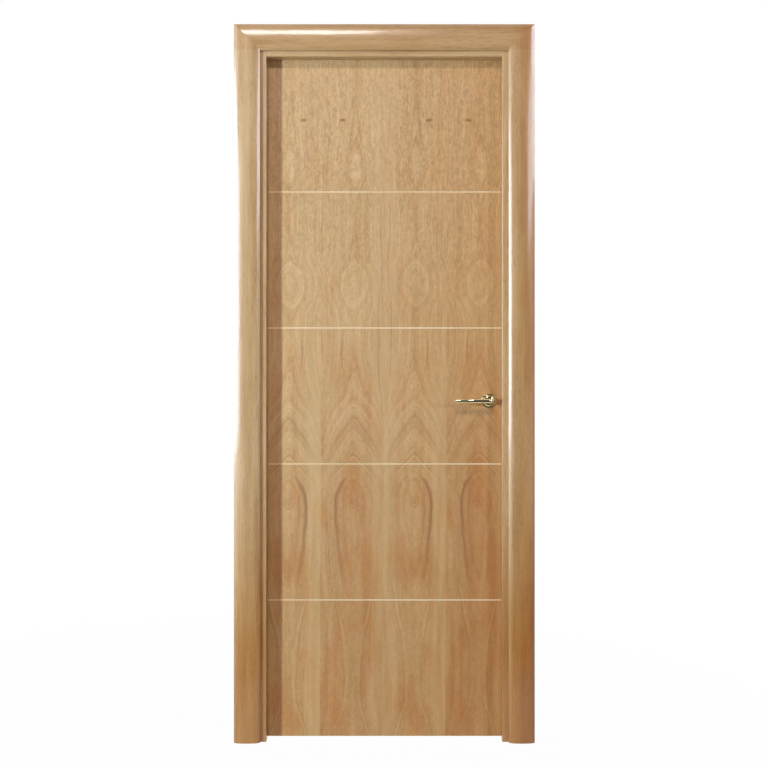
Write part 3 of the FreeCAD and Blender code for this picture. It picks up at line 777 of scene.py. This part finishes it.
def finish_piece(name: str, shape: Shape, finish: Material, body: str,
                 crease: float = 35) -> bpy.types.Object:
    """Turns a shape into a finished piece that moves with its body.

    Args:
        name: The piece's name.
        shape: The shape, in metres, in place. It is used up.
        finish: The piece's material.
        body: The body that it moves with.
        crease: Edges sharper than this many degrees stay sharp.

    Returns:
        The piece.
    """
    for face in shape.faces:
        face.smooth = True
    for edge in shape.edges:
        edge.smooth = len(edge.link_faces) != 2 or edge.calc_face_angle(0.0) < math.radians(crease)
    mesh = bpy.data.meshes.new(name)
    shape.to_mesh(mesh)
    shape.free()
    mesh.materials.append(finish)
    piece = linked(name, mesh)
    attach(piece, body)
    LOG.info("%s: %d faces", name, len(mesh.polygons))
    return piece


def dress(finish: Material, *nodes: str) -> None:
    """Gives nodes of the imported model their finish.

    Args:
        finish: The material that they get.
        *nodes: The nodes' names.
    """
    for node in nodes:
        mesh = frame["nodes"][node].data
        mesh.materials.clear()
        mesh.materials.append(finish)
        LOG.info("%s: %s", node, finish.name)


def smooth_copies(finish: Material, slot: str, *nodes: str) -> None:
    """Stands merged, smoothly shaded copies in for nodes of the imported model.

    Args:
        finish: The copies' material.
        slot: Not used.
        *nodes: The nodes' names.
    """
    for node in nodes:
        source = frame["nodes"][node]
        shape = bmesh.new()
        shape.from_mesh(source.data)
        bmesh.ops.remove_doubles(shape, verts=shape.verts, dist=MERGE_REACH)
        piece = finish_piece(f"{node}_smooth", shape, finish, source["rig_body"])
        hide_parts(node)


def turned_shape(outline: Sequence[Triple], steps: int) -> Shape:
    """Turns an outline round the Z axis.

    Args:
        outline: Corners as radius, height and rounding.
        steps: Number of steps round the axis.

    Returns:
        The closed shape.
    """
    shape = bmesh.new()
    corners = [shape.verts.new((radius, 0.0, height)) for radius, height, _ in outline]
    for first, second in zip(corners, corners[1:]):
        shape.edges.new((first, second))
    for corner, (_, _, rounding) in zip(corners, outline):
        if rounding:
            segments = LARGE_SEGMENTS if rounding > LARGE_ROUNDING else SMALL_SEGMENTS
            bmesh.ops.bevel(shape, geom=[corner], offset=rounding, offset_type="OFFSET", affect="VERTICES",
                            segments=segments, profile=0.5, material=-1)
    bmesh.ops.spin(shape, geom=[*shape.verts, *shape.edges], cent=(0, 0, 0), axis=(0, 0, 1), angle=2 * math.pi,
                   steps=steps, use_merge=True)
    bmesh.ops.remove_doubles(shape, verts=shape.verts, dist=MERGE_REACH)
    bmesh.ops.recalc_face_normals(shape, faces=shape.faces)
    return shape


def join(shape: Shape, part: Shape, matrix: Matrix) -> None:
    """Adds a part to a shape.

    Args:
        shape: The shape that grows.
        part: The part. It is used up.
        matrix: Where the part goes.
    """
    bmesh.ops.transform(part, matrix=matrix, verts=part.verts)
    bare = bpy.data.meshes.new("part")
    part.to_mesh(bare)
    part.free()
    shape.from_mesh(bare)
    bpy.data.meshes.remove(bare)


@dataclass
class DoorFrame:
    """Jambs, stops, architraves and seals."""

    palette: Palette

    def build(self) -> None:
        """Dresses the frame's timbers and seals."""
        upright, level = self.palette.frame_upright, self.palette.frame_level
        dress(upright, "jamb_hinge_side", "jamb_latch_side")
        dress(level, "jamb_head")
        smooth_copies(upright, "frame_wood", "stop_hinge_side", "stop_latch_side", "architrave_front_left",
                      "architrave_front_right", "architrave_back_left", "architrave_back_right")
        smooth_copies(level, "frame_wood", "stop_head", "architrave_front_head", "architrave_back_head")
        smooth_copies(self.palette.rubber, "seal", "seal_hinge_side", "seal_latch_side", "seal_head")


@dataclass
class DoorLeaf:
    """Faces, inlays, lippings, core and lock."""

    palette: Palette

    def build(self) -> None:
        """Dresses the leaf, and the lock with its spindle and strike plate."""
        palette = self.palette
        dress(palette.veneer, "leaf_face_front", "leaf_face_back")
        dress(palette.inlay, "inlay_strips_front", "inlay_strips_back")
        dress(palette.frame_upright, "lipping_hinge_edge", "lipping_lock_edge")
        dress(palette.core_upright, "leaf_stile_hinge", "leaf_stile_lock", "leaf_core")
        dress(palette.core_level, "leaf_rail_bottom", "leaf_rail_top")
        dress(palette.steel, "lock_case", "spindle")
        dress(palette.brass, "lock_forend", "latch_bolt", "strike_plate")


@dataclass
class HingeSet:
    """Three lift-off hinges."""

    palette: Palette

    def build(self) -> None:
        """Dresses the hinges."""
        for place in ("low", "middle", "high"):
            smooth_copies(self.palette.brass, "brass", f"hinge_frame_half_{place}", f"hinge_leaf_half_{place}")
            dress(self.palette.steel, f"hinge_pin_{place}")


@dataclass
class LeverHandle:
    """One lever handle on its rose, at one face of the leaf. Profiles give radius, height and rounding."""

    palette: Palette
    side: Side
    leaf_face: float
    spindle_x: float = 0.7075
    spindle_z: float = 1.002
    standoff: float = 0.047
    neck_radius: float = 0.0078
    elbow_share: float = 0.998
    rose_steps: int = 72
    neck_steps: int = 64
    arm_steps: int = 48
    rose_profile: tuple[Triple, ...] = (
        (0.0081, 0.0, 0.0), (0.022, 0.0, 0.0), (0.022, 0.004, 0.0013), (0.0186, 0.004, 0.0005),
        (0.0178, 0.0032, 0.0003), (0.017, 0.0034, 0.0), (0.0168, 0.0070, 0.0015), (0.0154, 0.0096, 0.0018),
        (0.0122, 0.0116, 0.0016), (0.0085, 0.012, 0.0003), (0.0081, 0.0116, 0.0), (0.0081, 0.0, 0.0))
    arm_profile: tuple[Triple, ...] = (
        (0.0, 0.0, 0.0), (0.0075, 0.0, 0.0), (0.0075, 0.0490, 0.001), (0.0057, 0.0630, 0.001),
        (0.0060, 0.0700, 0.002), (0.0064, 0.0865, 0.001), (0.0045, 0.1010, 0.002), (0.0034, 0.104, 0.0015),
        (0.0, 0.104, 0.0))

    def stand_in(self, kind: str, ending: str, shape: Shape, body: str, crease: float) -> None:
        """Places a shape made along Z on the spindle's axis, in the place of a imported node.

        Args:
            kind: The node's name without its side.
            ending: What the piece's name adds to the node's.
            shape: The shape. It is used up.
            body: The body that it moves with.
            crease: Edges sharper than this many degrees stay sharp.
        """
        turn = Matrix.Rotation(-self.side.value * math.pi / 2, 4, "X")
        move = Matrix.Translation((self.spindle_x, self.leaf_face, self.spindle_z))
        bmesh.ops.transform(shape, matrix=move @ turn, verts=shape.verts)
        node = f"{kind}_{self.side.name.lower()}"
        piece = finish_piece(f"{node}_{ending}", shape, self.palette.brass, body, crease)
        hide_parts(node)

    def build(self) -> None:
        """Builds the domed rose, and the neck with its round elbow and tapered lever."""
        self.stand_in("rose", "turned", turned_shape(self.rose_profile, self.rose_steps), "door_leaf", 50)
        neck, end = self.neck_radius, self.standoff + self.neck_radius
        outline = ((0.0, 0.0, 0.0), (neck, 0.0, 0.0), (neck, end, neck * self.elbow_share), (0.0, end, 0.0))
        shape = turned_shape(outline, self.neck_steps)
        aside = Matrix.Translation((0.0, 0.0, self.standoff)) @ Matrix.Rotation(-math.pi / 2, 4, "Y")
        join(shape, turned_shape(self.arm_profile, self.arm_steps), aside)
        self.stand_in("lever", "cast", shape, "handle", 60)


@dataclass
class Plate:
    """A plate that screws hold, seen on its open face."""

    node: str
    body: str
    face_x: float
    facing: float
    spots: Pairs
    slope: float = 0.0


@dataclass
class ScrewSet:
    """The cross-head screws of the hinge plates, the forend and the strike plate."""

    palette: Palette
    hinge_spots: Pairs = ((0.0215, 0.014), (0.0325, 0.036), (0.0215, 0.064), (0.0325, 0.086))
    lock_y: float = 0.020
    end_inset: float = 0.0075
    forend_x: float = 0.759
    forend_slope: float = -0.0571
    head_radius: float = 0.0035
    head_height: float = 0.0003
    head_sink: float = 0.0002
    head_segments: int = 24
    flat_share: float = 0.93
    cross_reach: float = 0.0019
    cross_half: float = 0.0005
    cross_depth: float = 0.0012
    cross_taper: float = 0.7
    first_turn: float = 0.5
    turn_step: float = 1.7
    crease: float = 30

    def head(self, shape: Shape, place: Vector, facing: Vector, turn: float) -> None:
        """Adds one screw head.

        Args:
            shape: The shape that the head joins.
            place: The middle of the head, on the plate's face.
            facing: The way that the head looks.
            turn: How far the cross is turned.
        """
        new = bmesh.new()
        top, flat = self.head_height, self.flat_share
        rim = bmesh.ops.create_circle(new, segments=self.head_segments, radius=self.head_radius * flat,
                                      matrix=Matrix.Translation((0, 0, top)))["verts"]
        reach, half = self.cross_reach, self.cross_half
        corners = [(reach, -half), (reach, half), (half, half), (half, reach), (-half, reach), (-half, half),
                   (-reach, half), (-reach, -half), (-half, -half), (-half, -reach), (half, -reach), (half, -half)]
        cross = [new.verts.new((x, y, top)) for x, y in corners]
        cross_edges = [new.edges.new((first, second)) for first, second in zip(cross, cross[1:] + cross[:1])]
        rim_edges = [edge for edge in new.edges if edge.verts[0] in rim and edge.verts[1] in rim]
        bmesh.ops.bridge_loops(new, edges=rim_edges + cross_edges)
        for edges, factor, drop in ((rim_edges, 1 / flat, top + self.head_sink),
                                    (cross_edges, self.cross_taper, self.cross_depth)):
            items = bmesh.ops.extrude_edge_only(new, edges=edges)["geom"]
            verts = [item for item in items if isinstance(item, bmesh.types.BMVert)]
            bmesh.ops.scale(new, vec=(factor, factor, 1), verts=verts)
            bmesh.ops.translate(new, vec=(0, 0, -drop), verts=verts)
        bmesh.ops.holes_fill(new, edges=new.edges, sides=0)
        bmesh.ops.recalc_face_normals(new, faces=new.faces)
        aim = facing.to_track_quat("Z", "Y").to_matrix().to_4x4()
        join(shape, new, Matrix.Translation(place) @ aim @ Matrix.Rotation(turn, 4, "Z"))

    def plate_screws(self, plate: Plate) -> None:
        """Adds the screws of one plate.

        Args:
            plate: The plate.
        """
        shape = bmesh.new()
        facing = Vector((plate.facing, -plate.facing * plate.slope, 0.0)).normalized()
        for number, (y, z) in enumerate(plate.spots):
            self.head(shape, Vector((plate.face_x, y, z)), facing, self.first_turn + self.turn_step * number)
        finish_piece(f"screws_{plate.node}", shape, self.palette.brass, plate.body, self.crease)

    def end_spots(self, node: str) -> Pairs:
        """Finds the screws at the two ends of a lock plate."""
        low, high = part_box(node)
        return [(self.lock_y, low.z + self.end_inset), (self.lock_y, high.z - self.end_inset)]

    def build(self) -> None:
        """Adds the screws of every plate."""
        leaf_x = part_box("lipping_hinge_edge")[0].x
        jamb_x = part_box("jamb_hinge_side")[1].x
        strike_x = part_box("strike_plate")[0].x
        for place in ("low", "middle", "high"):
            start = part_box(f"hinge_pin_{place}")[0].z
            spots = [(y, start + along) for y, along in self.hinge_spots]
            self.plate_screws(Plate(f"hinge_leaf_half_{place}", "door_leaf", leaf_x, -1.0, spots))
            self.plate_screws(Plate(f"hinge_frame_half_{place}", "door_frame", jamb_x, 1.0, spots))
        self.plate_screws(Plate("strike_plate", "door_frame", strike_x, -1.0, self.end_spots("strike_plate")))
        self.plate_screws(Plate("lock_forend", "door_leaf", self.forend_x, 1.0, self.end_spots("lock_forend"),
                                self.forend_slope))


# Studio


class LampUse(Enum):
    """What a lamp is for: to light the object, or to be mirrored in gloss."""

    LIGHT = "light"
    MIRRORED = "mirrored"


@dataclass(frozen=True)
class Lamp:
    """One soft lamp."""

    name: str
    place: Triple
    aim: Triple
    size: tuple[float, float]
    power: float
    use: LampUse
    colour: Triple = (1.0, 1.0, 1.0)

    def build(self) -> None:
        """Builds the lamp."""
        light = bpy.data.lights.new(self.name, "AREA")
        light.shape = "RECTANGLE"
        light.size, light.size_y = self.size
        light.energy = self.power
        light.color = self.colour
        lamp = linked(self.name, light)
        lamp.visible_camera = False
        lamp.visible_diffuse = self.use is LampUse.LIGHT
        lamp.visible_glossy = self.use is LampUse.MIRRORED
        lamp.location = self.place
        lamp.rotation_euler = (Vector(self.aim) - Vector(self.place)).to_track_quat("-Z", "Y").to_euler()


@dataclass
class Studio:
    """A plain pale floor, a white background, soft lamps and the camera."""

    ambient: float = 0.05
    ambient_colour: Colour = (1.0, 0.50, 0.30, 1.0)
    floor_half: float = 40.0
    floor_grey: Colour = (0.20, 0.20, 0.20, 1.0)
    door_middle: float = 0.4
    camera_place: Triple = (0.3965, -3.2975, 1.052)
    lens: float = 51.99
    sensor: float = 36.0
    lamps: tuple[Lamp, ...] = (
        Lamp("left", (-3.20, -3.0, 1.40), (0.4, 0.0, 1.2), (0.35, 0.35), 148.0, LampUse.LIGHT, (0.93, 1.09, 1.16)),
        Lamp("top", (-0.15, -8.5, 6.97), (0.4, 0.0, 1.6), (2.4, 1.3), 322.0, LampUse.LIGHT, (1.0, 0.75, 0.59)),
        Lamp("right", (3.8, -3.0, 1.9), (0.4, 0.0, 1.2), (0.35, 0.35), 40.0, LampUse.LIGHT, (1.0, 0.92, 0.84)),
        Lamp("rear_left", (-2.6, 3.6, 3.0), (0.4, 0.0, 1.0), (0.8, 0.8), 190.0, LampUse.LIGHT),
        Lamp("rear_right", (3.6, 3.0, 1.8), (0.4, 0.0, 1.0), (0.8, 0.8), 90.0, LampUse.LIGHT),
        Lamp("top_gloss", (-0.35, -4.9, 4.87), (0.4, 0.0, 1.8), (1.3, 0.95), 84.0, LampUse.MIRRORED),
        Lamp("left_wall", (-2.2, -2.05, 1.65), (0.4, -2.05, 1.65), (4.5, 1.9), 270.0, LampUse.MIRRORED,
             (0.86, 0.98, 1.22)),
        Lamp("right_wall", (3.0, -2.35, 2.6), (0.4, -2.35, 2.6), (5.1, 1.1), 125.0, LampUse.MIRRORED,
             (0.86, 0.98, 1.22)),
    )

    def background(self) -> None:
        """Builds the world: soft light all round, and plain white where it is seen or reflected."""
        world = bpy.data.worlds.new("studio")
        bpy.context.scene.world = world
        world.use_nodes = True
        board = Board(world.node_tree)
        output = next(node for node in world.node_tree.nodes if node.type == "OUTPUT_WORLD")
        soft = board.node("ShaderNodeBackground", {"Color": self.ambient_colour, "Strength": self.ambient})
        x, _, z = board.parts(board.node("ShaderNodeTexCoord").outputs["Generated"])
        beside = board.eased(board.number("ABSOLUTE", x), 0.40, 0.85)
        overhead = board.eased(board.number("ABSOLUTE", z), 0.76, 0.92)
        open_side = board.eased(board.larger(beside, overhead), 0.0, 1.0, 0.08, 1.0)
        strength = board.larger(board.node("ShaderNodeLightPath").outputs["Is Camera Ray"], open_side)
        white = board.node("ShaderNodeBackground", {"Color": WHITE, "Strength": strength})
        board.feed(output.inputs["Surface"], self.seen_white(board, soft.outputs[0], white.outputs[0]))

    def seen_white(self, board: Board, lit: Socket, white: Socket) -> Socket:
        """Shows white to the eye and in gloss, and the lit shader to all other light.

        Args:
            board: The tree's board.
            lit: The shader for all other light.
            white: The white shader.

        Returns:
            The joined shader.
        """
        path = board.node("ShaderNodeLightPath").outputs
        seen = board.larger(path["Is Camera Ray"], board.larger(path["Is Glossy Ray"], path["Is Transmission Ray"]))
        return board.node("ShaderNodeMixShader", {0: seen, 1: lit, 2: white}).outputs[0]

    def floor(self) -> None:
        """Builds the pale floor, which keeps the door's shadow."""
        shape = bmesh.new()
        bmesh.ops.create_grid(shape, x_segments=1, y_segments=1, size=self.floor_half)
        mesh = bpy.data.meshes.new("studio_floor")
        shape.to_mesh(mesh)
        shape.free()
        linked("studio_floor", mesh)
        material = bpy.data.materials.new("studio_floor")
        material.use_nodes = True
        mesh.materials.append(material)
        board = Board(material.node_tree)
        material.node_tree.nodes.clear()
        output = board.node("ShaderNodeOutputMaterial")
        matt = board.node("ShaderNodeBsdfDiffuse", {"Color": self.floor_grey}).outputs[0]
        place = board.node("ShaderNodeTexCoord").outputs["Object"]
        x, y, _ = board.parts(place)
        beside = board.eased(board.number("ABSOLUTE", board.minus(x, self.door_middle)), 1.6, 3.6)
        level = board.larger(board.eased(y, -1.0, -0.55, 0.05, 1.0), beside)
        level = board.larger(level, board.node("ShaderNodeLightPath").outputs["Is Camera Ray"])
        glow = board.node("ShaderNodeEmission", {"Color": WHITE, "Strength": level}).outputs[0]
        share = board.eased(board.length(place), 0.8, 2.2, 0.985, 1.0)
        partly = board.node("ShaderNodeMixShader", {0: share, 1: matt, 2: glow}).outputs[0]
        board.feed(output.inputs["Surface"], self.seen_white(board, matt, partly))

    def camera(self) -> None:
        """Sets the camera square to the door, at the height of the lever."""
        data = bpy.data.cameras.new("camera")
        data.lens = self.lens
        data.sensor_width = self.sensor
        camera = linked("camera", data)
        camera.location = self.camera_place
        camera.rotation_euler = (math.pi / 2, 0.0, 0.0)
        bpy.context.scene.camera = camera

    def build(self) -> None:
        """Builds the studio."""
        bpy.context.scene.view_settings.view_transform = "Standard"
        self.background()
        self.floor()
        self.camera()
        for lamp in self.lamps:
            lamp.build()


def main() -> None:
    """Builds the studio and dresses the door, one sub-assembly after another."""
    logging.basicConfig(level=logging.INFO, format="%(message)s")
    Studio().build()
    palette = Palette()
    DoorFrame(palette).build()
    DoorLeaf(palette).build()
    HingeSet(palette).build()
    ScrewSet(palette).build()
    for side, node in ((Side.FRONT, "leaf_face_front"), (Side.BACK, "leaf_face_back")):
        low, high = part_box(node)
        face = low.y if side is Side.FRONT else high.y
        LeverHandle(palette, side, face).build()


if __name__ == "__main__":
    main()
